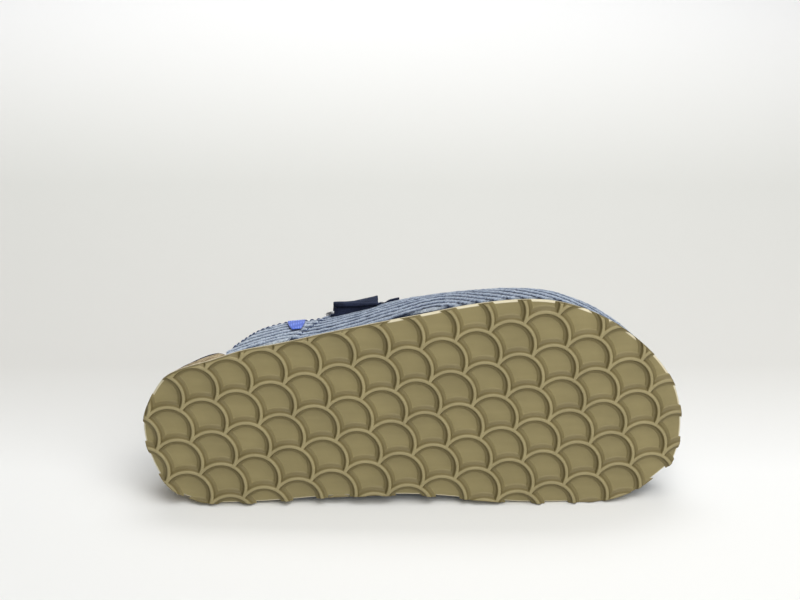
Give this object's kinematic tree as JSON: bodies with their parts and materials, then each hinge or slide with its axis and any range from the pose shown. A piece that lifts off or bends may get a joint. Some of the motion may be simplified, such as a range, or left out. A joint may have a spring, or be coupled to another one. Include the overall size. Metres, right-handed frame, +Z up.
{
  "type": "clog",
  "caption": "Right closed-toe clog in ribbed corduroy with a cork footbed, a ribbed outsole and a buckled instep strap, lying on its medial side.",
  "frame": {"origin": "bottom centre of the box of the shoe as it lies on its medial side", "axes": "+X from heel to toe, +Z up from the medial to the lateral side, the tread faces -Y"},
  "size_m": [0.272, 0.082, 0.1071],
  "materials": {
    "moulded_eva": "satin",
    "cork": "matt",
    "suede_liner": "matt",
    "corduroy": "matt",
    "suede_strap": "matt",
    "buckle_metal": "satin",
    "woven_tag": "matt"
  },
  "bodies": {
    "root": {"outsole": "moulded_eva", "cork_core": "cork", "footbed_liner": "suede_liner", "upper": "corduroy", "instep_strap": "suede_strap", "buckle_tab": "suede_strap", "buckle_frame": "buckle_metal", "buckle_pin": "buckle_metal", "side_tag": "woven_tag"}
  },
  "joints": []
}
